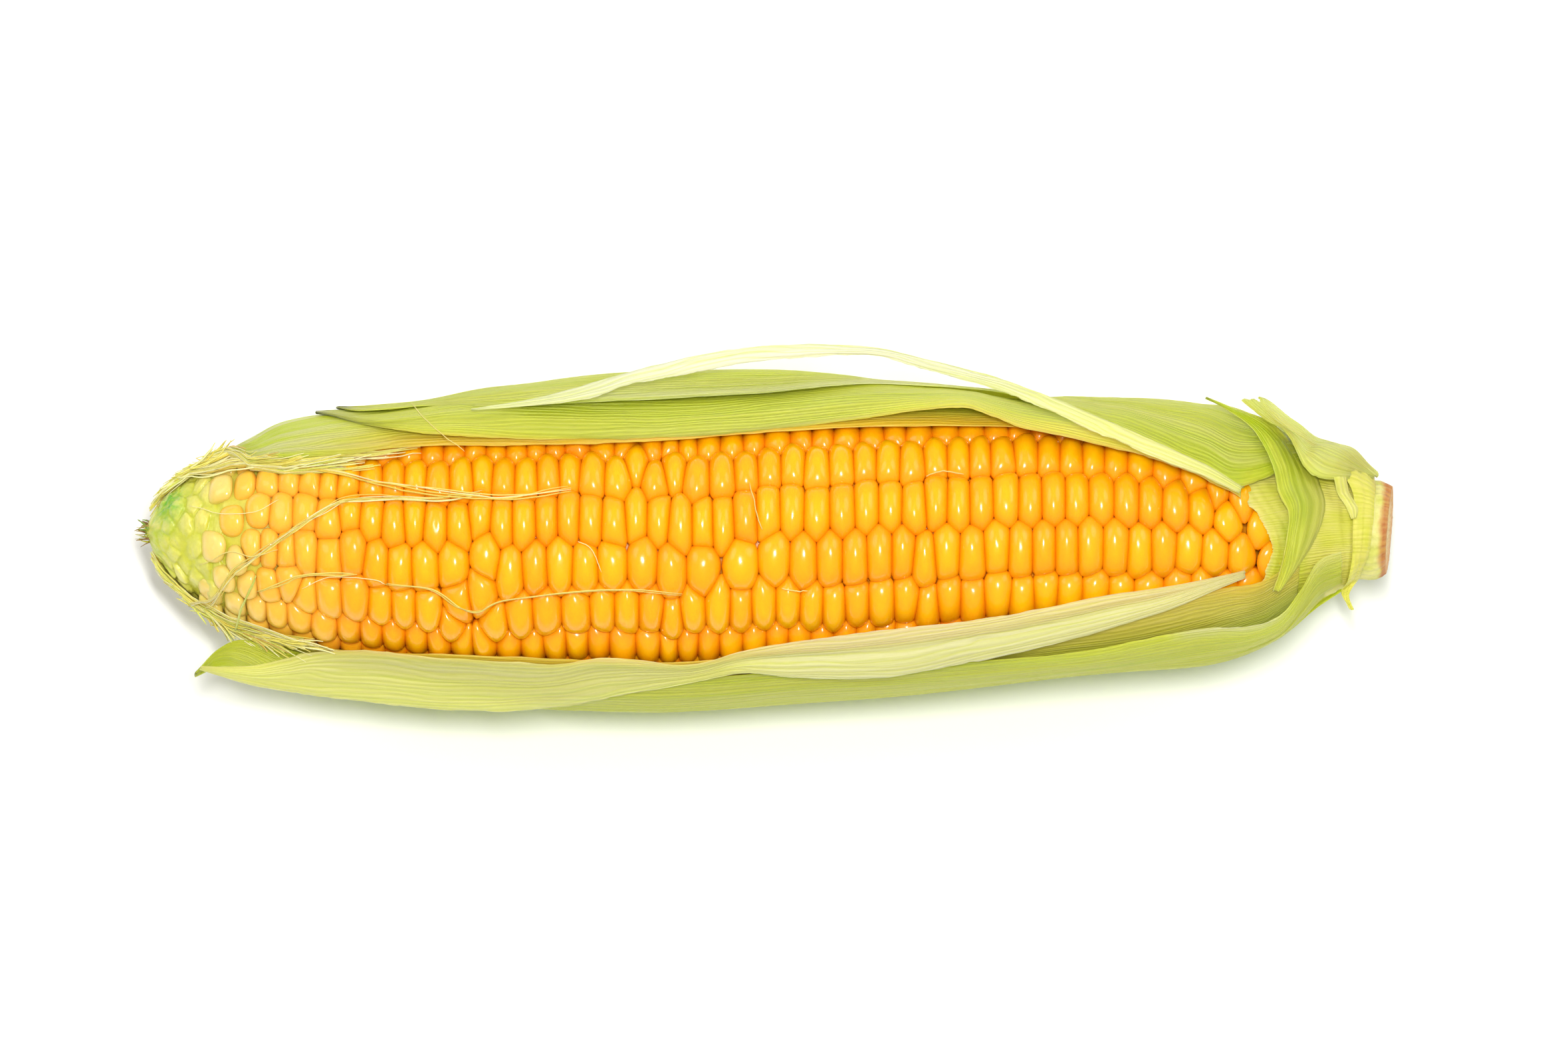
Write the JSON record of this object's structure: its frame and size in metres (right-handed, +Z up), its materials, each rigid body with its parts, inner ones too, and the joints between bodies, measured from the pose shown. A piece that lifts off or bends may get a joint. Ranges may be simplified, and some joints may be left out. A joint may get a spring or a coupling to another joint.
{
  "type": "corn cob",
  "caption": "Fresh ear of sweet corn lying down, rows of plump kernels on a tapering cob, open in a partly peeled leafy husk with silk strands and a cut stem.",
  "frame": {"origin": "centre of the ear's bounding box at the level of the surface that it lies on", "axes": "+X along the ear from the tip to the cut stem, +Y across the ear, +Z up out of the open side of the husk"},
  "size_m": [0.2302, 0.0654, 0.0593],
  "materials": {
    "kernel": "glossy waxy skin",
    "cob": "moist pale green",
    "husk": "satin, ribbed",
    "husk_pale": "satin, translucent, ribbed",
    "stem": "fibrous, browned rim",
    "silk": "fine dry strands"
  },
  "bodies": {
    "root": {"cob": "cob", "kernel_row_01": "kernel", "kernel_row_02": "kernel", "kernel_row_03": "kernel", "kernel_row_04": "kernel", "kernel_row_05": "kernel", "kernel_row_06": "kernel", "kernel_row_07": "kernel", "kernel_row_08": "kernel", "kernel_row_09": "kernel", "kernel_row_10": "kernel", "kernel_row_11": "kernel", "kernel_row_12": "kernel", "kernel_row_13": "kernel", "kernel_row_14": "kernel", "kernel_row_15": "kernel", "kernel_row_16": "kernel", "stem": "stem", "inner_leaf_back": "husk_pale", "middle_leaf_back": "husk", "outer_leaf_back": "husk", "torn_leaf_strip": "husk_pale", "inner_leaf_front": "husk_pale", "middle_leaf_front": "husk_pale", "outer_leaf_front": "husk", "bottom_leaf": "husk", "base_sheath": "husk_pale", "torn_band": "husk", "folded_stub_leaf": "husk", "stem_ring_leaf": "husk", "torn_shred": "husk", "silk_mat_back": "silk", "silk_mat_front": "silk", "silk_strand_1": "silk", "silk_strand_2": "silk", "silk_strand_3": "silk", "silk_strand_4": "silk"}
  },
  "joints": []
}
